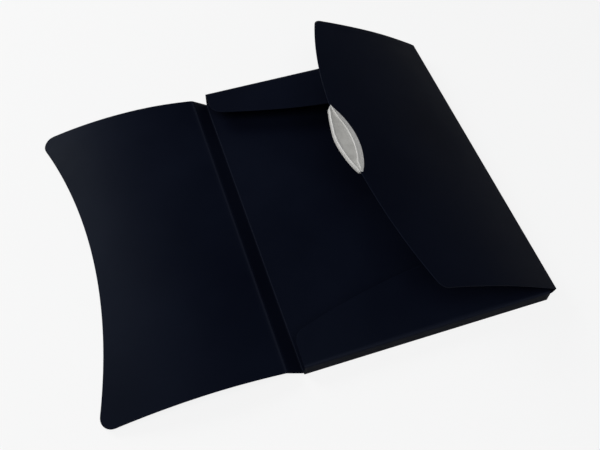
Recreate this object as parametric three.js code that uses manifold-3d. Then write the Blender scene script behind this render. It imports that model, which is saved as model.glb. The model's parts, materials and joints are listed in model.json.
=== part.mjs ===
// Three-flap folder of dark polypropylene sheet, lying open on its base.
// Units are millimetres. The origin is the middle of the base panel's underside,
// +X runs from the spine to the side flap, +Y to the top flap, +Z up.
import * as THREE from 'three';
import { mergeVertices } from 'three/addons/utils/BufferGeometryUtils.js';
import Module from 'manifold-3d';

// Sheet
const sheetThickness = 0.8;
const creaseRadius = 1.2; // of the sheet's middle surface
const hingeGap = 0.3; // between two panels that turn against each other

// Fineness of curves
const creaseSteps = 3; // half the number of flats round a crease
const bowSteps = 24;
const edgeSteps = 24;
const curveSteps = 12; // on each rounded corner

// Base panel with its three walls
const baseWidth = 234;
const baseHeight = 320;
const baseCornerRadius = 4.5;
const wallHeight = 15;
const sideWallHeight = 16.5;
const wallCornerGap = 6;

// Top and bottom flaps, folded inwards off the walls
const innerFlapRise = THREE.MathUtils.degToRad(8);
const innerFlapDepth = 62; // at the deepest place of its curved free edge
const innerFlapDeepest = 30; // that place's distance from the side wall
const innerFlapEdgeRadius = 667;
const innerFlapCornerRadius = 9;
const innerFlapBevelRun = 58; // the bevel that clears the side flap, along the wall
const innerFlapBevelDepth = 10; // depth left at the end of the bevel

// Spine band and front cover
const spineWidth = 17;
const spineLean = THREE.MathUtils.degToRad(36);
const coverInset = 2; // shorter than the base at each end
const coverHeight = baseHeight - 2 * coverInset;
const coverReach = 132; // at mid-height, where the free edge is cut in furthest
const coverEdgeRadius = 468;
const coverCornerRadius = 11;
const coverBow = 10;

// Side flap
const sideFlapInset = 1; // shorter than the base at each end
const sideFlapHeight = baseHeight - 2 * sideFlapInset;
const sideFlapReach = 168; // where the free edge stands out furthest
const sideFlapEdgeMiddle = -8; // that place's Y
const sideFlapEdgeRadius = 430;
const sideFlapLean = THREE.MathUtils.degToRad(28.5);
const sideFlapBow = 5;
const sideFlapCornerRadius = 9;

// Lens-shaped clip that grips the side flap's free edge
const clipMiddle = -3; // Y of its mid-length
const clipLength = 80;
const clipOverhang = 9.5; // beyond the flap's free edge
const clipGrip = 14.5; // over the flap
const clipFrontThickness = 1.5;
const clipBackThickness = 1;
const clipClearance = 0.3; // round the sheet in its slot
const clipRimWidth = 2;
const clipRibInset = 8; // of the dish's inner side from the clip's own, at mid-height
const clipDishDepth = 0.5;
const clipDishEndMargin = 6; // from the dish's pointed ends to the clip's

// Lengths that follow from the ones above
const halfSheet = sheetThickness / 2;
const halfBaseWidth = baseWidth / 2;
const halfBaseHeight = baseHeight / 2;
const creaseOuterRadius = creaseRadius + halfSheet;
const spineHinge = new THREE.Vector3(-halfBaseWidth - hingeGap - halfSheet, 0, halfSheet);
const coverHingeOffset = spineWidth + hingeGap + sheetThickness;
const sideFlapHinge = new THREE.Vector3(halfBaseWidth - halfSheet, 0, sideWallHeight);

const mergeDistance = 1e-4; // points closer than this are one

const wasm = await Module();
wasm.setup();

// Closed geometry to solid, and back
function solidOf(geometry) {
  const bare = geometry.clone();
  bare.deleteAttribute('normal');
  bare.deleteAttribute('uv');
  const merged = mergeVertices(bare, mergeDistance);
  return new wasm.Manifold(new wasm.Mesh({
    numProp: 3,
    vertProperties: new Float32Array(merged.attributes.position.array),
    triVerts: new Uint32Array(merged.index.array),
  }));
}

function geometryOf(solid) {
  const mesh = solid.getMesh();
  const geometry = new THREE.BufferGeometry();
  geometry.setAttribute('position', new THREE.BufferAttribute(new Float32Array(mesh.vertProperties), 3));
  geometry.setIndex(new THREE.BufferAttribute(new Uint32Array(mesh.triVerts), 1));
  geometry.computeVertexNormals();
  return geometry;
}

// Polyline through the corners, each one rounded to the crease radius
function creasedLine(corners) {
  const path = new THREE.Path();
  path.moveTo(corners[0].x, corners[0].y);
  for (let i = 1; i < corners.length - 1; i += 1) {
    const before = corners[i].clone().sub(corners[i - 1]).normalize();
    const after = corners[i + 1].clone().sub(corners[i]).normalize();
    const turn = Math.atan2(before.cross(after), before.dot(after));
    const side = Math.sign(turn);
    const start = corners[i].clone().addScaledVector(before, -creaseRadius * Math.tan(Math.abs(turn) / 2));
    const outward = new THREE.Vector2(before.y, -before.x).multiplyScalar(side);
    const centre = start.clone().addScaledVector(outward, -creaseRadius);
    const angle = Math.atan2(outward.y, outward.x);
    path.lineTo(start.x, start.y);
    path.absarc(centre.x, centre.y, creaseRadius, angle, angle + turn, side < 0);
  }
  const last = corners[corners.length - 1];
  path.lineTo(last.x, last.y);
  const points = path.getPoints(creaseSteps);
  return points.filter((point, i) => i === 0 || point.distanceTo(points[i - 1]) > mergeDistance);
}

// Circular arc from the origin to (-chord, 0) that rises by bow in its middle
function bowedLine(chord, bow) {
  const radius = (chord * chord / 4 + bow * bow) / (2 * bow);
  const half = Math.asin(chord / (2 * radius));
  const points = [];
  for (let i = 0; i <= bowSteps; i += 1) {
    const angle = half - (2 * half * i) / bowSteps;
    points.push(new THREE.Vector2(
      radius * Math.sin(angle) - chord / 2,
      radius * (Math.cos(angle) - Math.cos(half)),
    ));
  }
  return points;
}

// Section of a sheet along its middle line, with its first end rounded if it turns on a crease
function sheetSection(line, roundedStart) {
  const normals = line.map((point, i) => {
    const before = line[Math.max(i - 1, 0)];
    const after = line[Math.min(i + 1, line.length - 1)];
    const inward = i > 0 ? point.clone().sub(before).normalize() : after.clone().sub(point).normalize();
    const along = after.clone().sub(before).normalize();
    const stretch = 1 / Math.max(inward.dot(along), 0.5);
    return new THREE.Vector2(-along.y, along.x).multiplyScalar(stretch * halfSheet);
  });
  const left = line.map((point, i) => point.clone().add(normals[i]));
  const right = line.map((point, i) => point.clone().sub(normals[i])).reverse();
  const cap = [];
  if (roundedStart) {
    for (let i = 1; i < 2 * creaseSteps; i += 1) {
      const turn = (Math.PI * i) / (2 * creaseSteps);
      cap.push(normals[0].clone().negate().rotateAround(new THREE.Vector2(), -turn).add(line[0]));
    }
  }
  return new THREE.Shape([...left, ...right, ...cap]);
}

// Section drawn in X and Z, run along Y
function runAlongY(shape, low, high) {
  const geometry = new THREE.ExtrudeGeometry(shape, { depth: high - low, bevelEnabled: false });
  return geometry.rotateX(Math.PI / 2).translate(0, high, 0);
}

// Section drawn in Y and Z, run along X
function runAlongX(shape, low, high) {
  const geometry = new THREE.ExtrudeGeometry(shape, { depth: high - low, bevelEnabled: false });
  const turned = new THREE.Matrix4().makeBasis(
    new THREE.Vector3(0, 1, 0),
    new THREE.Vector3(0, 0, 1),
    new THREE.Vector3(1, 0, 0),
  );
  return geometry.applyMatrix4(turned).translate(low, 0, 0);
}

// Outline drawn in X and Y, run along Z
function runAlongZ(shape, low, high) {
  const geometry = new THREE.ExtrudeGeometry(shape, {
    depth: high - low,
    bevelEnabled: false,
    curveSegments: curveSteps,
  });
  return geometry.translate(0, 0, low);
}

// Corner of an outline at a point, rounded between the straight lines to its neighbours
function roundedCorner(shape, before, corner, after, radius) {
  const back = before.clone().sub(corner).normalize();
  const forth = after.clone().sub(corner).normalize();
  const half = Math.acos(back.dot(forth)) / 2;
  const reach = radius / Math.tan(half);
  const start = corner.clone().addScaledVector(back, reach);
  const end = corner.clone().addScaledVector(forth, reach);
  const centre = corner.clone().addScaledVector(back.clone().add(forth).normalize(), radius / Math.sin(half));
  const clockwise = back.cross(forth) > 0;
  shape.lineTo(start.x, start.y);
  shape.absarc(
    centre.x, centre.y, radius,
    Math.atan2(start.y - centre.y, start.x - centre.x),
    Math.atan2(end.y - centre.y, end.x - centre.x),
    clockwise,
  );
}

// Points of a curved edge, from a function that gives the place for a share of the way
function edgePoints(place) {
  return Array.from({ length: edgeSteps + 1 }, (_, i) => place(i / edgeSteps));
}

// Outline through points; corners lists the place in the list and the radius of each rounded one
function outline(points, corners) {
  const shape = new THREE.Shape();
  const radii = new Map(corners);
  shape.moveTo(points[0].x, points[0].y);
  for (let i = 1; i < points.length; i += 1) {
    if (radii.has(i)) {
      roundedCorner(shape, points[i - 1], points[i], points[(i + 1) % points.length], radii.get(i));
    } else {
      shape.lineTo(points[i].x, points[i].y);
    }
  }
  return shape;
}

// Base panel, flat on the table, its two corners at the side wall rounded
function basePanel() {
  const right = halfBaseWidth - creaseOuterRadius;
  const top = halfBaseHeight - creaseOuterRadius;
  const points = [
    new THREE.Vector2(-halfBaseWidth, -top),
    new THREE.Vector2(right, -top),
    new THREE.Vector2(right, top),
    new THREE.Vector2(-halfBaseWidth, top),
  ];
  const shape = outline(points, [[1, baseCornerRadius], [2, baseCornerRadius]]);
  return solidOf(runAlongZ(shape, 0, sheetThickness));
}

// Depth of a top or bottom flap's free edge, measured from the wall it folds off
function innerFlapDepthAt(x) {
  const run = x - (halfBaseWidth - innerFlapDeepest);
  const sag = innerFlapEdgeRadius - Math.sqrt(innerFlapEdgeRadius ** 2 - run ** 2);
  return innerFlapDepth - sag;
}

// Wall and flap in one fold; way is +1 at the top of the folder and -1 at the bottom
function foldedFlap(way) {
  const overlap = 2 * wallCornerGap; // of the wall's foot with the base panel
  const wallLine = halfBaseHeight - halfSheet;
  const crestLine = wallHeight - halfSheet;
  const section = sheetSection(creasedLine([
    new THREE.Vector2(way * (halfBaseHeight - overlap), halfSheet),
    new THREE.Vector2(way * wallLine, halfSheet),
    new THREE.Vector2(way * wallLine, crestLine),
    new THREE.Vector2(
      way * (wallLine - 1.1 * innerFlapDepth),
      crestLine + 1.1 * innerFlapDepth * Math.tan(innerFlapRise),
    ),
  ]), false);
  const sheet = solidOf(runAlongX(section, -halfBaseWidth, halfBaseWidth - wallCornerGap));

  const left = -halfBaseWidth;
  const right = halfBaseWidth - wallCornerGap;
  const bevel = right - innerFlapBevelRun;
  const past = halfBaseHeight + sheetThickness;
  const place = (x, depth) => new THREE.Vector2(x, way * (halfBaseHeight - depth));
  const start = left + 1.5 * innerFlapCornerRadius; // past the rounded corner
  const edge = edgePoints((share) => {
    const x = start + share * (bevel - start);
    return place(x, innerFlapDepthAt(x));
  });
  const points = [
    new THREE.Vector2(right + 1, way * past),
    new THREE.Vector2(left - 1, way * past),
    new THREE.Vector2(left - 1, way * (halfBaseHeight - 1)),
    place(left, 1),
    place(left, innerFlapDepthAt(left)),
    ...edge,
    place(right, innerFlapBevelDepth),
    place(right + 1, innerFlapBevelDepth),
  ];
  const shape = outline(points, [
    [4, innerFlapCornerRadius],
    [4 + edge.length, innerFlapCornerRadius],
  ]);
  const crest = wallHeight + innerFlapDepth;
  return sheet.intersect(solidOf(runAlongZ(shape, -1, crest)));
}

// Side wall; its top edge stops short of the side flap's hinge
function sideWall() {
  const wallLine = halfBaseWidth - halfSheet;
  const section = sheetSection(creasedLine([
    new THREE.Vector2(halfBaseWidth - 2 * wallCornerGap, halfSheet),
    new THREE.Vector2(wallLine, halfSheet),
    new THREE.Vector2(wallLine, sideFlapHinge.z - halfSheet - hingeGap),
  ]), false);
  const half = halfBaseHeight - wallCornerGap;
  return solidOf(runAlongY(section, -half, half));
}

function baseTray() {
  return basePanel().add(foldedFlap(1)).add(foldedFlap(-1)).add(sideWall());
}

// Panel that runs from its crease along -X, cut from a bowed sheet to an outline
function bowedPanel(chord, bow, height, shape) {
  const section = sheetSection(bowedLine(chord, bow), true);
  const sheet = solidOf(runAlongY(section, -height / 2, height / 2));
  const depth = bow + 10 * sheetThickness;
  return sheet.intersect(solidOf(runAlongZ(shape, -depth, depth)));
}

function spineBand() {
  const line = [new THREE.Vector2(0, 0), new THREE.Vector2(-spineWidth, 0)];
  return solidOf(runAlongY(sheetSection(line, true), -coverHeight / 2, coverHeight / 2));
}

// Reach of the cover's free edge, a shallow concave arc
function coverReachAt(y) {
  return coverReach + coverEdgeRadius - Math.sqrt(coverEdgeRadius ** 2 - y ** 2);
}

// The cover's chord runs out to its two corners, which rest on the table
const coverChord = coverReachAt(coverHeight / 2);
const coverLean = -Math.asin((coverHingeOffset * Math.sin(spineLean)) / coverChord);

function frontCover() {
  const half = coverHeight / 2;
  const edge = edgePoints((share) => {
    const y = half * (2 * share - 1);
    return new THREE.Vector2(-coverReachAt(y), y);
  });
  const points = [
    new THREE.Vector2(sheetThickness, half + 1),
    new THREE.Vector2(sheetThickness, -half - 1),
    new THREE.Vector2(-coverReach / 2, -half - 1),
    new THREE.Vector2(-coverReach / 2, -half),
    ...edge,
    new THREE.Vector2(-coverReach / 2, half),
    new THREE.Vector2(-coverReach / 2, half + 1),
  ];
  const shape = outline(points, [[4, coverCornerRadius], [3 + edge.length, coverCornerRadius]]);
  return bowedPanel(coverChord, coverBow, coverHeight, shape);
}

// Reach of the side flap's free edge, a shallow convex arc
function sideFlapReachAt(y) {
  const run = y - sideFlapEdgeMiddle;
  return sideFlapReach - sideFlapEdgeRadius + Math.sqrt(sideFlapEdgeRadius ** 2 - run ** 2);
}

function sideFlap() {
  const half = sideFlapHeight / 2;
  const edge = edgePoints((share) => {
    const y = half * (2 * share - 1);
    return new THREE.Vector2(-sideFlapReachAt(y), y);
  });
  const points = [
    new THREE.Vector2(sheetThickness, half + 1),
    new THREE.Vector2(sheetThickness, -half - 1),
    new THREE.Vector2(-sideFlapReach / 2, -half - 1),
    new THREE.Vector2(-sideFlapReach / 2, -half),
    ...edge,
    new THREE.Vector2(-sideFlapReach / 2, half),
    new THREE.Vector2(-sideFlapReach / 2, half + 1),
  ];
  const shape = outline(points, [[4, sideFlapCornerRadius], [3 + edge.length, sideFlapCornerRadius]]);
  return bowedPanel(sideFlapReach, sideFlapBow, sideFlapHeight, shape);
}

// Arc between two points on the Y axis at plus and minus half a length, bulging to x = bulge
function bulgeAt(y, halfLength, bulge) {
  const size = Math.abs(bulge);
  const radius = (halfLength ** 2 + size ** 2) / (2 * size);
  return Math.sign(bulge) * (Math.sqrt(radius ** 2 - y ** 2) - (radius - size));
}

// Pointed lens between two arcs; the outer one bulges to -X
function lens(halfLength, outerBulge, innerBulge) {
  const outer = edgePoints((share) => {
    const y = halfLength * (1 - 2 * share);
    return new THREE.Vector2(-bulgeAt(y, halfLength, outerBulge), y);
  });
  const inner = edgePoints((share) => {
    const y = halfLength * (2 * share - 1);
    return new THREE.Vector2(bulgeAt(y, halfLength, innerBulge), y);
  });
  return new THREE.Shape([...outer, ...inner.slice(1, -1)]);
}

// The clip's tips lie on the flap's free edge, a little short of the reach between them
const clipLowReach = sideFlapReachAt(clipMiddle - clipLength / 2);
const clipHighReach = sideFlapReachAt(clipMiddle + clipLength / 2);
const clipPlace = (clipLowReach + clipHighReach) / 2;
const clipTurn = (clipHighReach - clipPlace) / (clipLength / 2);
const clipTipFallback = sideFlapReachAt(clipMiddle) - clipPlace;

// Clip in its own frame: X = 0 on the line between its tips, Z = 0 in the middle of the sheet
function closureClip() {
  const half = clipLength / 2;
  const outerBulge = clipOverhang + clipTipFallback;
  const innerBulge = clipGrip - clipTipFallback;
  const slot = halfSheet + clipClearance;
  const body = solidOf(runAlongZ(
    lens(half, outerBulge, innerBulge),
    -slot - clipBackThickness,
    slot + clipFrontThickness,
  ));
  const dish = solidOf(runAlongZ(
    lens(half - clipDishEndMargin, outerBulge - clipRimWidth, innerBulge - clipRibInset),
    slot + clipFrontThickness - clipDishDepth,
    slot + clipFrontThickness + 1,
  ));
  const sheetEdge = edgePoints((share) => {
    const y = clipLength * (share - 0.5);
    const edge = clipPlace + clipTurn * y - sideFlapReachAt(clipMiddle + y);
    return new THREE.Vector2(edge - clipClearance, y);
  });
  const mouth = solidOf(runAlongZ(new THREE.Shape([
    new THREE.Vector2(clipGrip + 1, clipLength / 2),
    new THREE.Vector2(clipGrip + 1, -clipLength / 2),
    ...sheetEdge,
  ].reverse()), -slot, slot));
  return body.subtract(dish).subtract(mouth);
}

function sheetMaterial() {
  return new THREE.MeshStandardMaterial({ color: 0x10131b, roughness: 0.42, metalness: 0 });
}

function clipMaterial() {
  return new THREE.MeshStandardMaterial({ color: 0xc4c5c0, roughness: 0.35, metalness: 0 });
}

function named(name, solid, material) {
  const mesh = new THREE.Mesh(geometryOf(solid), material);
  mesh.name = name;
  return mesh;
}

const folder = new THREE.Group();
folder.add(named('base_tray', baseTray(), sheetMaterial()));

const spineGroup = new THREE.Group();
spineGroup.position.copy(spineHinge);
spineGroup.rotation.y = spineLean;
spineGroup.add(named('spine_band', spineBand(), sheetMaterial()));
folder.add(spineGroup);

const coverGroup = new THREE.Group();
coverGroup.position.set(-coverHingeOffset, 0, 0);
coverGroup.rotation.y = coverLean - spineLean;
coverGroup.add(named('front_cover', frontCover(), sheetMaterial()));
spineGroup.add(coverGroup);

const sideFlapGroup = new THREE.Group();
sideFlapGroup.position.copy(sideFlapHinge);
sideFlapGroup.rotation.y = sideFlapLean;
sideFlapGroup.add(named('side_flap', sideFlap(), sheetMaterial()));
folder.add(sideFlapGroup);

// The clip lies along the bowed flap's own slope at its free edge
const clipGroup = new THREE.Group();
const flapRadius = (sideFlapReach ** 2 / 4 + sideFlapBow ** 2) / (2 * sideFlapBow);
const clipSlope = Math.asin((clipPlace - clipGrip / 2 - sideFlapReach / 2) / flapRadius);
clipGroup.position.set(-clipPlace, clipMiddle, (sideFlapReach - clipPlace) * Math.tan(clipSlope));
clipGroup.rotation.set(0, -clipSlope, Math.atan(clipTurn));
clipGroup.add(named('closure_clip', closureClip(), clipMaterial()));
sideFlapGroup.add(clipGroup);

export default folder;
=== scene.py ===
import json
import math

import bpy
import numpy as np
from mathutils import Matrix, Vector

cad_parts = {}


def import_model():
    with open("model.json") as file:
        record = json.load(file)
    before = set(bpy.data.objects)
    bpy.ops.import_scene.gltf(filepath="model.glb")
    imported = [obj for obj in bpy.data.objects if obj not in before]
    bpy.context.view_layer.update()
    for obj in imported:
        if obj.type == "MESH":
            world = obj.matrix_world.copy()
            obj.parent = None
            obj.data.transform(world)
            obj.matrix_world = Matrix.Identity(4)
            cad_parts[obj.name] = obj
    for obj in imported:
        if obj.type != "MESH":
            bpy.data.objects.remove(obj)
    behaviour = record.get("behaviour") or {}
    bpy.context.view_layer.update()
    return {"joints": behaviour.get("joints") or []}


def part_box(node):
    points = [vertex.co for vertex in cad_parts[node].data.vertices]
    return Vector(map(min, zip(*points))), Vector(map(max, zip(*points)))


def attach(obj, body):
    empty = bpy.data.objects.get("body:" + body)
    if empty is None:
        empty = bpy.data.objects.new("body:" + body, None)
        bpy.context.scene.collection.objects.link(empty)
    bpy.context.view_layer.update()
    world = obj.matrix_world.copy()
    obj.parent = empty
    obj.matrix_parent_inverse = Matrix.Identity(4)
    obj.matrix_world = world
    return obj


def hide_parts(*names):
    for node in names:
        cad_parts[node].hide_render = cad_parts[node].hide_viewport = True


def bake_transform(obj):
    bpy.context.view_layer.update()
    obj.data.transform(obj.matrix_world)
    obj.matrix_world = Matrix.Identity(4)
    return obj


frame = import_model()

MM = 0.001
joints = {joint["name"]: Vector(joint["pos_m"]) for joint in frame["joints"]}
spine_hinge = joints["spine_hinge"]
cover_hinge = joints["cover_hinge"]
flap_hinge = joints["side_flap_hinge"]

# Sheet and tray, as the solids have them
half_sheet = spine_hinge.z
half_width = -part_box("base_tray")[0].x
half_height = 160 * MM
crease_radius = 1.2 * MM
wall_height = 15 * MM
corner_gap = 6 * MM
inner_rise = math.radians(8)
inner_depth = 62 * MM
inner_deepest = 30 * MM
inner_edge_radius = 667 * MM
inner_corner_radius = 9 * MM
inner_bevel_run = 58 * MM
inner_bevel_depth = 10 * MM
inner_bevel_blend = 6 * MM
inner_sag = 1.1 * MM
inner_wave = 0.5 * MM
side_wall_top = flap_hinge.z - 1.6 * MM
wall_flare = 0.028  # share by which the side wall widens up to the side flap's crease

# Spine and cover
spine_lean = math.radians(36)
spine_bend_half = 0.7 * MM
cover_half = 158 * MM
cover_reach = 132 * MM
cover_edge_radius = 468 * MM
cover_corner_radius = 11 * MM
cover_bow = 10 * MM
cover_bend_half = 1.2 * MM
cover_lead = 1.6 * MM  # how far before its crease the cover's piece begins
cover_wave = 0.35 * MM

# Side flap
flap_half = 159 * MM
flap_reach = 168 * MM
flap_edge_middle = -8 * MM
flap_edge_radius = 430 * MM
flap_corner_radius = 9 * MM
flap_lean = math.radians(28.5)
flap_bow = 5 * MM
flap_bend_half = 1.4 * MM
flap_narrowing = 0.004  # share by which the side flap is narrower where it leaves the wall
flap_narrowing_reach = 8 * MM
flap_wave = 0.4 * MM

# Clip
clip_middle = -3 * MM
clip_length = 80 * MM
clip_overhang = 9.5 * MM
clip_grip = 14.5 * MM
clip_front = 1.5 * MM
clip_back = 1.0 * MM
clip_clearance = 0.3 * MM
clip_rim = 1.0 * MM
clip_rib_inset = 6.4 * MM
clip_dish = 0.5 * MM
clip_full_width = 9 * MM  # the section has its full relief where it is wider than this
clip_notch = 1.3 * MM
clip_notch_start = 1.6 * MM
clip_notch_end = 4.2 * MM
clip_low_stretch = 1.6 * MM  # the lower half is drawn longer by this, then cut off blunt
clip_low_cut = 1.6 * MM
clip_high_cut = 0.25 * MM
clip_end_shrink = 0.16
clip_end_fade = 0.5 * MM
clip_steps = 72
clip_sharp_angle = 40

# Cut rims and creases of the sheet
rim_bulge = 0.16 * MM
rim_steps = 4
# Cut rims and creases are drawn paler: partly wear, partly a painted highlight where the edges
# catch light
rim_wear_and_highlight = 0.6
crease_wear_and_highlight_reach = 1.1 * MM
crease_reach = 0.7 * MM
crease_loss = 0.3 * MM  # how much thinner the sheet is in the middle of a crease
spine_crease_loss = 0.25 * MM
sheet_sharp_angle = 50
weld_distance = 1e-3 * MM

# How finely the sheet is divided
tray_columns = 64
tray_rows = 34
inner_flap_rows = 26
inner_flap_crowding = 1.25  # above 1, rows or columns crowd towards the free edge
crease_points = 7
crest_points = 8
corner_points = 9
spine_rows = 90
spine_bend_points = 9
spine_flat_points = 12
panel_rows = 60
panel_end_rows = 10
panel_crowding = 1.15
cover_points = (9, 64)  # over the bend, then from there to the free edge
flap_points = (13, 70)

# Linear colours
sheet_dark = (0.0017, 0.0023, 0.0057, 1)
sheet_light = (0.0028, 0.0038, 0.0085, 1)
# Paler colour of creases and cut rims: partly wear, partly a painted highlight
sheet_wear_and_highlight = (0.011, 0.013, 0.022, 1)
sheet_sheen = (0.60, 0.78, 1.0, 1)
clip_dark = (0.375, 0.366, 0.343, 1)
clip_light = (0.462, 0.452, 0.426, 1)
# Paler colour painted on the clip's rim, rib and edges as a highlight
clip_painted_highlight = (0.580, 0.570, 0.553, 1)
floor_colour = (0.5, 0.5, 0.5, 1)
sky_colour = (0.80, 0.89, 1.0, 1)
white = (1, 1, 1, 1)

# The photograph's camera, solved from the straight edges in it
picture_width = 600
focal_pixels = 787.7
camera_azimuth = math.radians(-20.13)
camera_elevation = math.radians(56.16)
camera_roll = math.radians(1.83)
camera_distance = 743.9 * MM
camera_target = Vector((-72.4, -15.3, 0)) * MM


def smooth_step(value, low, high):
    share = np.clip((np.asarray(value, float) - low) / (high - low), 0, 1)
    return share * share * (3 - 2 * share)


def soft_min(a, b, width):
    share = np.clip(0.5 + 0.5 * (b - a) / width, 0, 1)
    return b * (1 - share) + a * share - width * share * (1 - share)


def spread(low, high, count):
    return list(np.linspace(low, high, count))


def mirrored(places):
    """Places from zero outwards, with their mirror images before them."""
    return [-place for place in reversed(places[1:])] + places


def edge_shares(count, crowding):
    """Shares of the way to a free edge, closer together towards it."""
    return 1 - (1 - np.linspace(0, 1, count)[1:]) ** crowding


def placed(name, data):
    piece = bpy.data.objects.new(name, data)
    bpy.context.scene.collection.objects.link(piece)
    return piece


def smooth_object(name, points, faces, attribute, values, sharp_angle):
    """A smooth-shaded mesh object that keeps one number on each vertex."""
    mesh = bpy.data.meshes.new(name)
    mesh.from_pydata(points, [], faces)
    layer = mesh.attributes.new(attribute, "FLOAT", "POINT")
    layer.data.foreach_set("value", np.array(values, np.float32))
    mesh.validate()
    mesh.update()
    mesh.polygons.foreach_set("use_smooth", [True] * len(mesh.polygons))
    mesh.set_sharp_from_angle(angle=math.radians(sharp_angle))
    return placed(name, mesh)


# Sheet builder: middle surface in, closed sheet with rounded rims out

def creased(points, distances, loss=crease_loss):
    """A grid of points with the crease's wear and painted highlight, and the thickness, that their
    distances from a crease give.
    """
    distances = np.array(distances)
    wear_and_highlight = np.exp(-(distances / crease_wear_and_highlight_reach) ** 2)
    thickness = 2 * half_sheet - loss * np.exp(-(distances / crease_reach) ** 2)
    return np.array(points), wear_and_highlight, thickness


def merged(blocks):
    """Grids of points, wear and painted highlight, and thickness joined into one surface of shared
    vertices.
    """
    keys = {}
    points, wear_and_highlight, thickness, faces = [], [], [], []

    def vertex(point, worn_and_highlit, thick):
        key = tuple(np.round(point / weld_distance).astype(int))
        if key not in keys:
            keys[key] = len(points)
            points.append(point)
            wear_and_highlight.append(worn_and_highlit)
            thickness.append(thick)
        return keys[key]

    for grid, worn_and_highlit, thick in blocks:
        rows, columns = grid.shape[:2]
        ids = [
            [vertex(grid[i, j], worn_and_highlit[i, j], thick[i, j]) for j in range(columns)]
            for i in range(rows)
        ]
        for i in range(rows - 1):
            for j in range(columns - 1):
                corners = [ids[i][j], ids[i + 1][j], ids[i + 1][j + 1], ids[i][j + 1]]
                face = [v for k, v in enumerate(corners) if v != corners[k - 1]]
                if len(set(face)) > 2:
                    faces.append(face)
    return np.array(points), np.array(wear_and_highlight), np.array(thickness), faces


def surface_normals(points, faces):
    normals = np.zeros_like(points)
    for face in faces:
        a, b, c = points[face[0]], points[face[1]], points[face[2]]
        normal = np.cross(b - a, c - b)
        if len(face) == 4:
            d = points[face[3]]
            normal = normal + np.cross(d - c, a - d)
        for v in face:
            normals[v] += normal
    return normals / np.linalg.norm(normals, axis=1, keepdims=True)


def rim_edges(faces):
    """Edges that only one face has, in the order in which the faces come."""
    sides = {}
    for face in faces:
        for k, v in enumerate(face):
            sides[(v, face[(k + 1) % len(face)])] = True
    return [edge for edge in sides if (edge[1], edge[0]) not in sides]


def sheet_object(name, blocks):
    """A closed sheet round a middle surface; its cut rim is a shallow half round."""
    points, wear_and_highlight, thickness, faces = merged(blocks)
    normals = surface_normals(points, faces)
    count = len(points)
    half = thickness[:, None] / 2
    vertices = [points + normals * half, points - normals * half]
    all_faces = [list(face) for face in faces]
    all_faces += [[v + count for v in reversed(face)] for face in faces]
    edges = rim_edges(faces)
    outward = np.zeros_like(points)
    for a, b in edges:
        along = points[b] - points[a]
        along /= np.linalg.norm(along)
        for v in (a, b):
            outward[v] += np.cross(along, normals[v])
    rim = sorted({v for edge in edges for v in edge})
    lengths = np.linalg.norm(outward[rim], axis=1, keepdims=True)
    outward[rim] /= np.maximum(lengths, 1e-9)
    place = {v: k for k, v in enumerate(rim)}
    for step in range(1, rim_steps):
        turn = math.pi * step / rim_steps
        row = points[rim] + normals[rim] * half[rim] * math.cos(turn)
        vertices.append(row + outward[rim] * rim_bulge * math.sin(turn))

    def rim_vertex(v, step):
        if step == 0:
            return v
        if step == rim_steps:
            return v + count
        return 2 * count + (step - 1) * len(rim) + place[v]

    for a, b in edges:
        for step in range(rim_steps):
            all_faces.append([
                rim_vertex(b, step), rim_vertex(a, step),
                rim_vertex(a, step + 1), rim_vertex(b, step + 1),
            ])
    # The rim rows are drawn paler: partly wear, partly a painted highlight
    worn_and_highlit = np.concatenate([wear_and_highlight, wear_and_highlight] + [np.maximum(wear_and_highlight[rim], rim_wear_and_highlight)] * (rim_steps - 1))
    vertices = np.concatenate(vertices).tolist()
    return smooth_object(name, vertices, all_faces, "wear_and_highlight", worn_and_highlit, sheet_sharp_angle)


# Profile lines

class FoldedLine:
    """Straight runs joined by crease arcs, measured along their length."""

    def __init__(self, corners, radius):
        self.parts = []
        self.length = 0.0
        self.marks = [0.0]
        corners = [np.array(corner, float) for corner in corners]
        here = corners[0]
        for i in range(1, len(corners)):
            ahead = corners[i] - corners[i - 1]
            ahead /= np.linalg.norm(ahead)
            if i == len(corners) - 1:
                self.add_straight(here, corners[i], ahead)
                break
            after = corners[i + 1] - corners[i]
            after /= np.linalg.norm(after)
            turn = math.atan2(ahead[0] * after[1] - ahead[1] * after[0], float(ahead @ after))
            start = corners[i] - ahead * radius * math.tan(abs(turn) / 2)
            self.add_straight(here, start, ahead)
            self.parts.append(("arc", self.length, start, ahead, radius, turn))
            self.length += radius * abs(turn)
            self.marks.append(self.length)
            here = self.at(self.length - 1e-12)[0]

    def add_straight(self, start, end, ahead):
        self.parts.append(("straight", self.length, start, ahead, 0, 0))
        self.length += float(np.linalg.norm(end - start))
        self.marks.append(self.length)

    def at(self, s):
        """Place and heading at a length s along the line."""
        part = [p for p in self.parts if p[1] <= s + 1e-12][-1]
        kind, begin, start, ahead, radius, turn = part
        run = s - begin
        if kind == "straight":
            return start + ahead * run, ahead
        side = math.copysign(1, turn)
        angle = side * run / radius
        left = np.array([-ahead[1], ahead[0]]) * side
        centre = start + left * radius
        spoke = -left * radius
        c, k = math.cos(angle), math.sin(angle)
        turned = np.array([c * spoke[0] - k * spoke[1], k * spoke[0] + c * spoke[1]])
        heading = np.array([c * ahead[0] - k * ahead[1], k * ahead[0] + c * ahead[1]])
        return centre + turned, heading


class TurningLine:
    """A line given by its heading along its length, as a dense table."""

    def __init__(self, start, heading, length, step=0.1 * MM):
        self.s = np.arange(0, length + step, step)
        self.angle = heading(self.s)
        middle = (self.angle[1:] + self.angle[:-1]) / 2
        gaps = np.diff(self.s)
        self.x = start[0] + np.concatenate([[0], np.cumsum(np.cos(middle) * gaps)])
        self.z = start[1] + np.concatenate([[0], np.cumsum(np.sin(middle) * gaps)])

    def at(self, s):
        """Place and heading, as x, z and angle, at a length s along the line."""
        return tuple(np.interp(s, self.s, table) for table in (self.x, self.z, self.angle))


# Base tray: base panel, three walls, top and bottom flaps

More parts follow.
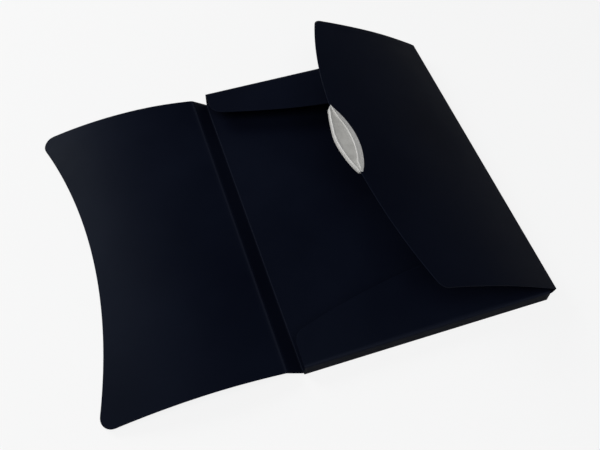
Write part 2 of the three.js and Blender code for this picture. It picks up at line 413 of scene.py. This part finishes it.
def inner_depth_at(x):
    """Plan depth of a top or bottom flap's free edge from the wall it folds off."""
    run = x - (half_width - inner_deepest)
    curve = inner_depth - (inner_edge_radius - math.sqrt(inner_edge_radius ** 2 - run ** 2))
    right = half_width - corner_gap
    share = (x - (right - inner_bevel_run)) / inner_bevel_run
    bevel = inner_depth + (inner_bevel_depth - inner_depth) * share
    depth = float(soft_min(curve, bevel, inner_bevel_blend))
    corner = -half_width + inner_corner_radius
    if x < corner:
        run = x - corner
        depth -= inner_corner_radius - math.sqrt(max(inner_corner_radius ** 2 - run ** 2, 0))
    return depth


def tray():
    crest = wall_height - half_sheet
    wall_line = half_height - half_sheet
    reach = 1.2 * inner_depth  # longer than any flap is deep
    fold = FoldedLine([
        (0, half_sheet), (wall_line, half_sheet), (wall_line, crest),
        (wall_line - reach, crest + reach * math.tan(inner_rise)),
    ], crease_radius)
    foot_start, foot_end, wall_end, crest_end = fold.marks[1:5]
    crest_place = fold.at(crest_end)[0][0]
    side_line = half_width - half_sheet
    side = FoldedLine([
        (0, half_sheet), (side_line, half_sheet), (side_line, side_wall_top),
    ], crease_radius)

    right = half_width - corner_gap
    corner_y = half_height - corner_gap
    turn = np.linspace(0, math.pi / 2, corner_points)[:-1]
    columns = list(-half_width + inner_corner_radius * (1 - np.cos(turn)))
    columns += spread(-half_width + inner_corner_radius, right, tray_columns)
    inside = spread(0, corner_y, tray_rows)
    outside = spread(foot_start, foot_end, crease_points)
    outside += spread(foot_end, wall_end, crease_points)[1:]
    outside += spread(wall_end, crest_end, crest_points)[1:]
    shares = edge_shares(inner_flap_rows, inner_flap_crowding)

    def column_places(x):
        run = crest_place - (half_height - inner_depth_at(x))
        end = crest_end + run / math.cos(inner_rise)
        beyond = [crest_end + (end - crest_end) * share for share in shares]
        return mirrored(inside + outside + beyond)

    def point(x, s):
        y, z = fold.at(abs(s))[0]
        sag = 0.0
        if abs(s) > crest_end:
            over = (abs(s) - crest_end) / inner_depth
            phase = 2 if s > 0 else 0.4
            sag = inner_sag * over ** 2 + inner_wave * over * math.sin(31 * x + phase)
        return (x, math.copysign(y, s) if s else 0.0, z - sag)

    crests = ((foot_start + foot_end) / 2, (wall_end + crest_end) / 2)

    def near(s):
        return min(abs(abs(s) - middle) for middle in crests)

    blocks = [creased(
        [[point(x, s) for s in column_places(x)] for x in columns],
        [[near(s) for s in column_places(x)] for x in columns],
    )]

    side_start, side_end = side.marks[1:3]
    side_crest = (side_start + side_end) / 2
    across = [right] + spread(side_start, side_end, crease_points)
    across += spread(side_end, side.length, crease_points)[1:]

    def wall_point(s, y):
        x, z = side.at(s)[0]
        flare = 1 + wall_flare * math.sqrt(max(z - half_sheet, 0) / side_wall_top)
        return (x, y * flare, z)

    blocks.append(creased(
        [[wall_point(s, y) for y in mirrored(inside)] for s in across],
        [[abs(s - side_crest) for _ in mirrored(inside)] for s in across],
    ))

    # Two quarter rounds close the base panel's outline between the walls
    for way in (1, -1):
        arc = []
        for angle in np.linspace(0, math.pi / 2, crease_points)[::way]:
            x = right + (side_start - right) * math.cos(angle)
            y = way * (corner_y + (foot_start - corner_y) * math.sin(angle))
            arc.append((x, y, half_sheet))
        grid = np.array([[(right, way * corner_y, half_sheet)] * len(arc), arc])
        size = grid.shape[:2]
        blocks.append((grid, np.zeros(size), np.full(size, 2 * half_sheet)))
    return sheet_object("folded_tray", blocks)


# Panels cut to an outline: rows along Y, each from the crease to the free edge

def cut_reach(y, half, radius, reach_at):
    """Reach of a panel's free edge at y, its two corners rounded."""
    way = math.copysign(1, y)
    centre_y = half - radius
    probe = 1 * MM
    here = reach_at(way * centre_y)
    slope = (reach_at(way * (centre_y + probe)) - here) / probe
    steep = math.hypot(1, slope)
    centre_u = here - radius * steep
    if abs(y) <= centre_y - radius * slope / steep:
        return reach_at(y)
    over = abs(y) - centre_y
    return centre_u + math.sqrt(max(radius ** 2 - over ** 2, 0))


def row_places(half, radius):
    """Places of a panel's rows along Y, closer together at its rounded ends."""
    end_length = 1.4 * radius
    turn = np.linspace(0, math.pi / 2, panel_end_rows)[1:]
    side = spread(0, half - end_length, panel_rows)
    side += list(half - end_length + end_length * np.sin(turn))
    return mirrored(side)


def panel(name, line, start, crease_at, rows, reach_at, ripple, counts, narrowing=0.0):
    """A panel on a profile line, from start along the line to its free edge.

    crease_at is the crease's place from start, and the bend goes as far beyond it. counts
    are the numbers of points over the bend and from there to the free edge.
    """
    bend = spread(0, 2 * crease_at, counts[0])
    shares = edge_shares(counts[1], panel_crowding)
    points, distances = [], []
    for y in rows:
        end = crease_at + reach_at(y)
        places = bend + [bend[-1] + (end - bend[-1]) * share for share in shares]
        row = []
        for s in places:
            x, z, angle = line.at(start + s)
            lift = ripple(s - crease_at, y)
            width = 1 - narrowing * (1 - float(smooth_step(s, 0, flap_narrowing_reach)))
            row.append((x - lift * math.sin(angle), y * width, z + lift * math.cos(angle)))
        points.append(row)
        distances.append([abs(s - crease_at) for s in places])
    return sheet_object(name, [creased(points, distances)])


def bow_radius(chord, bow):
    return (chord * chord / 4 + bow * bow) / (2 * bow)


# Spine band and front cover: one line that leaves the base's left edge

spine_crease = abs(spine_hinge.x + half_width)
spine_width = math.hypot(cover_hinge.x - spine_hinge.x, cover_hinge.z - spine_hinge.z)
cover_crease = spine_crease + spine_width


def cover_reach_at(y):
    return cover_reach + cover_edge_radius - math.sqrt(cover_edge_radius ** 2 - y ** 2)


cover_chord = cover_reach_at(cover_half)
cover_lean = -math.asin((cover_hinge.z - half_sheet) / cover_chord)
cover_radius = bow_radius(cover_chord, cover_bow)
cover_root = cover_lean + math.asin(cover_chord / (2 * cover_radius))


def cover_heading(s):
    """Heading of the spine and cover line: pi is level, towards the cover's free edge."""
    rise = smooth_step(s, spine_crease - spine_bend_half, spine_crease + spine_bend_half)
    level = smooth_step(s, cover_crease - cover_bend_half, cover_crease + cover_bend_half)
    fall = np.maximum(s - cover_crease, 0) / cover_radius
    return math.pi - (spine_lean * rise + (cover_root - spine_lean) * level - fall)


cover_line = TurningLine((-half_width, half_sheet), cover_heading, 220 * MM)


def spine():
    places = spread(0, 2 * spine_crease, spine_bend_points)
    places += spread(2 * spine_crease, cover_crease - cover_lead, spine_flat_points)[1:]
    profile = [cover_line.at(s) for s in places]
    rows = spread(-cover_half, cover_half, spine_rows)
    points = [[(x, y, z) for x, z, _ in profile] for y in rows]
    distances = [[abs(s - spine_crease) for s in places] for _ in rows]
    return sheet_object("spine_strip", [creased(points, distances, spine_crease_loss)])


def cover_ripple(u, y):
    """Soft wave of the cover, fading in from its crease."""
    far = smooth_step(u, 8 * MM, 60 * MM)
    wave = math.sin(21 * y + 14 * u) + 0.6 * math.sin(37 * u - 16 * y + 1)
    return float(far * cover_wave * wave)


def cover():
    return panel(
        "cover_panel", cover_line, cover_crease - cover_lead, cover_lead,
        row_places(cover_half, cover_corner_radius),
        lambda y: cut_reach(y, cover_half, cover_corner_radius, cover_reach_at),
        cover_ripple, cover_points,
    )


# Side flap: a line that leaves the side wall's top edge

flap_crease = flap_hinge.z - side_wall_top
flap_radius = bow_radius(flap_reach, flap_bow)
flap_root = flap_lean + math.asin(flap_reach / (2 * flap_radius))


def flap_reach_at(y):
    run = y - flap_edge_middle
    return flap_reach - flap_edge_radius + math.sqrt(flap_edge_radius ** 2 - run ** 2)


def flap_heading(s):
    """Heading of the side flap's line: it leaves the wall upright and turns inwards."""
    bend = smooth_step(s, flap_crease - flap_bend_half, flap_crease + flap_bend_half)
    fall = np.maximum(s - flap_crease, 0) / flap_radius
    return math.pi / 2 + (math.pi / 2 - flap_root) * bend + fall


flap_line = TurningLine((flap_hinge.x, side_wall_top), flap_heading, 200 * MM)


def flap_ripple(u, y):
    """Soft wave of the side flap, fading in from its crease."""
    far = smooth_step(u, 8 * MM, 70 * MM)
    wave = math.sin(18 * y - 17 * u + 2) + 0.5 * math.sin(29 * y + 33 * u)
    return float(far * flap_wave * wave)


def side_flap():
    return panel(
        "side_flap_panel", flap_line, 0, flap_crease,
        row_places(flap_half, flap_corner_radius),
        lambda y: cut_reach(y, flap_half, flap_corner_radius, flap_reach_at),
        flap_ripple, flap_points, flap_narrowing,
    )


# Lens-shaped clip on the side flap's free edge

clip_low = flap_reach_at(clip_middle - clip_length / 2)
clip_high = flap_reach_at(clip_middle + clip_length / 2)
clip_place = (clip_low + clip_high) / 2
clip_turn = (clip_high - clip_low) / clip_length
clip_fallback = flap_reach_at(clip_middle) - clip_place


def arc_bulge(y, half, bulge):
    """Height of an arc over its chord at y, for a chord of twice half."""
    radius = (half ** 2 + bulge ** 2) / (2 * bulge)
    return math.sqrt(max(radius ** 2 - y ** 2, 0)) - (radius - bulge)


def clip_outline(y):
    """Outer and inner edge of the clip at y, measured from its chord."""
    half = clip_length / 2 + (clip_low_stretch if y < 0 else 0)
    outer = arc_bulge(y, half, clip_overhang + clip_fallback)
    inner = -arc_bulge(y, half, clip_grip - clip_fallback)
    along = y / half
    # The outer edge is a little flatter above the middle and fuller at the upper tip
    outer -= 1.2 * MM * math.exp(-((along - 0.38) / 0.3) ** 2)
    outer += 0.9 * MM * math.exp(-((along - 0.86) / 0.08) ** 2)
    return outer, inner


def clip_section(y):
    """Closed section of the clip across its length: (out, up, share of painted highlight) round it.
    """
    outer, inner = clip_outline(y)
    width = outer - inner
    slot = half_sheet + clip_clearance
    full = smooth_step(width, 0, clip_full_width)
    top = slot + (0.5 + 0.5 * full) * clip_front
    low = -slot - (0.4 + 0.6 * full) * clip_back
    soft = min(0.5 * MM, 0.12 * width)
    rim = min(clip_rim, 0.2 * width)
    rib = inner + min(clip_rib_inset, 0.46 * width)
    dish = clip_dish * full
    from_low = y + clip_length / 2
    notch = clip_notch * (1 - smooth_step(from_low, clip_notch_start, clip_notch_end))
    # The rib and the slope behind it get a painted highlight, less where the notch is
    rib_highlight, slope_highlight = (0.5, 0.4) if notch == 0 else (0.2, 0.0)
    low_end = outer - 1.5 * rim
    high_end = rib + 0.8 * MM * full
    # Third number of each point: its share of the painted highlight
    # Outer face, raised rim and the step down into the dish
    points = [
        (outer, top - soft - 0.2 * MM, 0.5),
        (outer - 0.3 * soft, top - 0.3 * soft, 1.0),
        (outer - soft, top, 1.0),
        (outer - 0.55 * rim, top + 0.15 * MM * full, 1.0),
        (outer - 0.85 * rim, top, 0.8),
        (outer - 1.15 * rim, top - 0.75 * dish, 0.25),
        (low_end, top - dish, 0.1),
    ]
    # Dish
    for share in (0.2, 0.4, 0.6, 0.8):
        hollow = 0.25 * MM * full * math.sin(math.pi * share)
        points.append((low_end + (high_end - low_end) * share, top - dish - hollow, 0.0))
    # Rib
    slope_start = rib - 0.4 * MM * full
    points += [
        (high_end, top - dish, 0.2),
        (rib + 0.4 * MM * full, top - 0.2 * dish, 0.5),
        (rib, top + 0.12 * MM * full - notch, rib_highlight),
        (slope_start, top - 0.15 * dish - notch, slope_highlight),
    ]
    # Crescent that slopes down to the inner edge, and that edge
    for share in (0.3, 0.6, 0.9):
        drop = 0.15 * dish + 0.75 * MM * full * share ** 1.3
        out = slope_start + (inner + soft - slope_start) * share
        points.append((out, top - drop, 0.1 + 0.6 * share))
    points += [
        (inner + 0.3 * soft, top - 0.85 * MM * full - 0.4 * soft, 0.9),
        (inner, top - 0.9 * MM * full - soft, 0.8),
        (inner, slot + 0.12 * MM, 0.5),
        (inner + 0.12 * MM, slot, 0.3),
    ]
    # Slot round the flap's free edge
    edge = flap_reach_at(clip_middle + y) - clip_place - clip_turn * y + clip_clearance
    edge = min(edge, outer - 0.3 * width)
    points += [
        (edge - 0.2 * MM, slot, 0.3),
        (edge, slot - 0.2 * MM, 0.3),
        (edge, -slot + 0.2 * MM, 0.3),
        (edge - 0.2 * MM, -slot, 0.3),
    ]
    # Back
    points += [
        (inner + 0.12 * MM, -slot, 0.3),
        (inner, -slot - 0.12 * MM, 0.5),
        (inner, low + soft, 0.8),
        (inner + 0.3 * soft, low + 0.3 * soft, 0.9),
        (inner + soft, low, 0.7),
    ]
    for share in (0.25, 0.5, 0.75):
        points.append((inner + soft + (width - 2 * soft) * share, low, 0.3))
    points += [
        (outer - soft, low, 0.3),
        (outer - 0.3 * soft, low + 0.3 * soft, 0.3),
        (outer, low + soft, 0.3),
    ]
    return points


def clip():
    x, z, angle = flap_line.at(flap_crease + clip_place)
    out = Vector((math.cos(angle), 0, math.sin(angle)))
    along = Vector((0, 1, 0))
    up = Vector((math.sin(angle), 0, -math.cos(angle)))
    origin = Vector((x, clip_middle, z))
    low_end = -clip_length / 2 + clip_low_cut
    high_end = clip_length / 2 - clip_high_cut
    vertices, pale, faces = [], [], []
    for i in range(clip_steps + 1):
        swing = math.cos(math.pi * i / clip_steps)
        y = (low_end + high_end) / 2 - (high_end - low_end) / 2 * swing
        shrink = 1 - clip_end_shrink * math.exp(-(y - low_end) / clip_end_fade)
        for a, b, painted_highlight in clip_section(y):
            spot = origin + out * (a * shrink + clip_turn * y) + along * y + up * (b * shrink)
            vertices.append(tuple(spot))
            pale.append(painted_highlight)
    size = len(vertices) // (clip_steps + 1)
    for i in range(clip_steps):
        for j in range(size):
            k = (j + 1) % size
            faces.append([i * size + j, i * size + k, (i + 1) * size + k, (i + 1) * size + j])
    faces.append(list(reversed(range(size))))
    faces.append([clip_steps * size + j for j in range(size)])
    return smooth_object("lens_clip", vertices, faces, "pale", pale, clip_sharp_angle)


# Materials

def node(tree, kind, place, **values):
    """A new node; each value is a property of it or, by its name, an input."""
    made = tree.nodes.new(kind)
    made.location = place
    for key, value in values.items():
        if hasattr(made, key):
            setattr(made, key, value)
        else:
            made.inputs[key.replace("_", " ")].default_value = value
    return made


def two_tone(tree, place, dark, light):
    ramp = node(tree, "ShaderNodeValToRGB", place)
    low, high = ramp.color_ramp.elements
    low.position = 0.3
    low.color = dark
    high.position = 0.7
    high.color = light
    return ramp


def sheet_material():
    """Satin polypropylene: nearly black blue, fine sand grain, paler at creases and cut edges,
    partly wear and partly a painted highlight.
    """
    material = bpy.data.materials.new("polypropylene_sheet")
    material.use_nodes = True
    tree = material.node_tree
    tree.nodes.clear()
    link = tree.links.new
    place = node(tree, "ShaderNodeTexCoord", (-1200, 0))
    clouds = node(tree, "ShaderNodeTexNoise", (-1000, 250), Scale=9.0, Detail=3.0, Roughness=0.5)
    smudges = node(tree, "ShaderNodeTexNoise", (-1000, 0), Scale=38.0, Detail=4.0, Roughness=0.6)
    grain = node(tree, "ShaderNodeTexNoise", (-1000, -250), Scale=1500.0, Detail=2.0, Roughness=0.6)
    swell = node(tree, "ShaderNodeTexNoise", (-1000, -500), Scale=14.0, Detail=1.0, Roughness=0.4)
    for texture in (clouds, smudges, grain, swell):
        link(place.outputs["Object"], texture.inputs["Vector"])
    tone = two_tone(tree, (-780, 250), sheet_dark, sheet_light)
    link(clouds.outputs["Fac"], tone.inputs["Fac"])
    # Creases and cut rims blend towards a paler colour: partly wear, partly a painted highlight
    wear_and_highlight = node(tree, "ShaderNodeAttribute", (-1000, 480), attribute_name="wear_and_highlight")
    pale = node(tree, "ShaderNodeMath", (-780, 480), operation="MULTIPLY")
    pale.inputs[1].default_value = 0.55
    link(wear_and_highlight.outputs["Fac"], pale.inputs[0])
    paler = node(tree, "ShaderNodeMix", (-520, 300), data_type="RGBA")
    link(pale.outputs[0], paler.inputs["Factor"])
    link(tone.outputs["Color"], paler.inputs[6])
    paler.inputs[7].default_value = sheet_wear_and_highlight
    polish = node(tree, "ShaderNodeMapRange", (-780, 0), To_Min=0.40, To_Max=0.52)
    link(smudges.outputs["Fac"], polish.inputs["Value"])
    rough = node(tree, "ShaderNodeBump", (-520, -250), Strength=0.4, Distance=0.00006)
    link(grain.outputs["Fac"], rough.inputs["Height"])
    wavy = node(tree, "ShaderNodeBump", (-320, -250), Strength=0.22, Distance=0.0012)
    link(swell.outputs["Fac"], wavy.inputs["Height"])
    link(rough.outputs["Normal"], wavy.inputs["Normal"])
    skin = node(tree, "ShaderNodeBsdfPrincipled", (-80, 100), IOR=1.49)
    skin.inputs["Specular IOR Level"].default_value = 0.03
    skin.inputs["Specular Tint"].default_value = sheet_sheen
    link(paler.outputs[2], skin.inputs["Base Color"])
    link(polish.outputs["Result"], skin.inputs["Roughness"])
    link(wavy.outputs["Normal"], skin.inputs["Normal"])
    out = node(tree, "ShaderNodeOutputMaterial", (420, 0))
    link(skin.outputs[0], out.inputs["Surface"])
    return material


def clip_material():
    """Milky grey plastic, smooth, with a little subsurface light, and a painted highlight on its
    rim, rib and edges.
    """
    material = bpy.data.materials.new("milky_clip")
    material.use_nodes = True
    tree = material.node_tree
    link = tree.links.new
    skin = tree.nodes["Principled BSDF"]
    place = node(tree, "ShaderNodeTexCoord", (-1000, 0))
    milk = node(tree, "ShaderNodeTexNoise", (-800, 200), Scale=110.0, Detail=3.0, Roughness=0.5)
    fine = node(tree, "ShaderNodeTexNoise", (-800, -200), Scale=900.0, Detail=2.0, Roughness=0.5)
    link(place.outputs["Object"], milk.inputs["Vector"])
    link(place.outputs["Object"], fine.inputs["Vector"])
    tone = two_tone(tree, (-560, 200), clip_dark, clip_light)
    link(milk.outputs["Fac"], tone.inputs["Fac"])
    # The clip's rim, rib and edges are drawn paler: a painted highlight
    edge = node(tree, "ShaderNodeAttribute", (-560, 460), attribute_name="pale")
    paler = node(tree, "ShaderNodeMix", (-280, 300), data_type="RGBA")
    link(edge.outputs["Fac"], paler.inputs["Factor"])
    link(tone.outputs["Color"], paler.inputs[6])
    paler.inputs[7].default_value = clip_painted_highlight
    link(paler.outputs[2], skin.inputs["Base Color"])
    bump = node(tree, "ShaderNodeBump", (-560, -200), Strength=0.15, Distance=0.00005)
    link(fine.outputs["Fac"], bump.inputs["Height"])
    link(bump.outputs["Normal"], skin.inputs["Normal"])
    skin.inputs["Roughness"].default_value = 0.33
    skin.inputs["IOR"].default_value = 1.5
    skin.inputs["Subsurface Weight"].default_value = 0.25
    skin.inputs["Subsurface Radius"].default_value = (0.004, 0.004, 0.004)
    skin.inputs["Subsurface Scale"].default_value = 0.5
    skin.inputs["Coat Weight"].default_value = 0.15
    return material


# Stage: pale floor, soft light, the photograph's camera

def floor():
    """A grey floor that the camera sees nearly white, with the folder's shadow on it."""
    mesh = bpy.data.meshes.new("floor")
    size = 30.0
    corners = [(-size, -size, 0), (size, -size, 0), (size, size, 0), (-size, size, 0)]
    mesh.from_pydata(corners, [], [[0, 1, 2, 3]])
    plane = placed("floor", mesh)
    material = bpy.data.materials.new("floor_white")
    material.use_nodes = True
    tree = material.node_tree
    tree.nodes.clear()
    link = tree.links.new
    matte = node(tree, "ShaderNodeBsdfDiffuse", (0, 0), Color=floor_colour)
    glow = node(tree, "ShaderNodeEmission", (0, -160), Color=white)
    path = node(tree, "ShaderNodeLightPath", (-400, 200))
    share = node(tree, "ShaderNodeMath", (-200, 200), operation="MULTIPLY")
    share.inputs[1].default_value = 0.84
    link(path.outputs["Is Camera Ray"], share.inputs[0])
    mix = node(tree, "ShaderNodeMixShader", (200, 0))
    link(share.outputs[0], mix.inputs["Fac"])
    link(matte.outputs[0], mix.inputs[1])
    link(glow.outputs[0], mix.inputs[2])
    out = node(tree, "ShaderNodeOutputMaterial", (400, 0))
    link(mix.outputs[0], out.inputs["Surface"])
    mesh.materials.append(material)


def world():
    scene = bpy.context.scene
    scene.world = bpy.data.worlds.new("studio")
    scene.world.use_nodes = True
    tree = scene.world.node_tree
    tree.nodes.clear()
    link = tree.links.new
    path = node(tree, "ShaderNodeLightPath", (-600, 200))
    soft = node(tree, "ShaderNodeBackground", (-200, 100), Color=sky_colour, Strength=0.13)
    seen = node(tree, "ShaderNodeBackground", (-200, -100), Color=white, Strength=1.0)
    mix = node(tree, "ShaderNodeMixShader", (0, 0))
    link(path.outputs["Is Camera Ray"], mix.inputs["Fac"])
    link(soft.outputs[0], mix.inputs[1])
    link(seen.outputs[0], mix.inputs[2])
    out = node(tree, "ShaderNodeOutputWorld", (200, 0))
    link(mix.outputs[0], out.inputs["Surface"])


def area_light(name, place, target, size, power):
    data = bpy.data.lights.new(name, "AREA")
    data.shape = "RECTANGLE"
    data.size, data.size_y = size
    data.energy = power
    lamp = placed(name, data)
    lamp.location = place
    ahead = Vector(target) - Vector(place)
    lamp.rotation_euler = ahead.to_track_quat("-Z", "Y").to_euler()


def camera():
    back = Vector((
        math.sin(camera_azimuth) * math.cos(camera_elevation),
        -math.cos(camera_azimuth) * math.cos(camera_elevation),
        math.sin(camera_elevation),
    ))
    level = Vector((math.cos(camera_azimuth), math.sin(camera_azimuth), 0))
    above = back.cross(level)
    right = level * math.cos(camera_roll) + above * math.sin(camera_roll)
    up = above * math.cos(camera_roll) - level * math.sin(camera_roll)
    data = bpy.data.cameras.new("camera")
    data.sensor_width = 36.0
    data.lens = focal_pixels / picture_width * data.sensor_width
    data.clip_start = 0.01
    view = placed("camera", data)
    turned = Matrix((right, up, back)).transposed().to_4x4()
    view.matrix_world = Matrix.Translation(camera_target + back * camera_distance) @ turned
    bpy.context.scene.camera = view


def at_place(line, s, y=0.0):
    x, z, _ = line.at(s)
    return (float(x), y, float(z))


sheet = sheet_material()
tray_piece = tray()
spine_piece = spine()
cover_piece = cover()
flap_piece = side_flap()
clip_piece = clip()
for piece in (tray_piece, spine_piece, cover_piece, flap_piece):
    piece.data.materials.append(sheet)
clip_piece.data.materials.append(clip_material())

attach(tray_piece, "base")
at_place(cover_line, 0)
at_place(cover_line, 2 * spine_crease)
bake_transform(spine_piece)
at_place(cover_line, cover_crease - 1.5 * MM)
at_place(cover_line, cover_crease + 1.5 * MM)
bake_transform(cover_piece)
at_place(flap_line, 0.1 * MM)
at_place(flap_line, 2 * flap_crease)
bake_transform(flap_piece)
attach(clip_piece, "flap")
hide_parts("base_tray")
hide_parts("spine_band")
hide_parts("front_cover")
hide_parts("side_flap")
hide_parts("closure_clip")

floor()
world()
area_light("key", (-0.95, 1.02, 0.88), (-0.1, 0, 0), (0.8, 0.8), 18)
area_light("fill", (-0.35, -0.7, 1.6), (0, 0, 0), (1.4, 1.0), 22)
area_light("side", (1.1, -0.5, 0.6), (0.1, 0, 0), (0.8, 0.8), 0.8)
camera()
bpy.context.scene.view_settings.view_transform = "Standard"
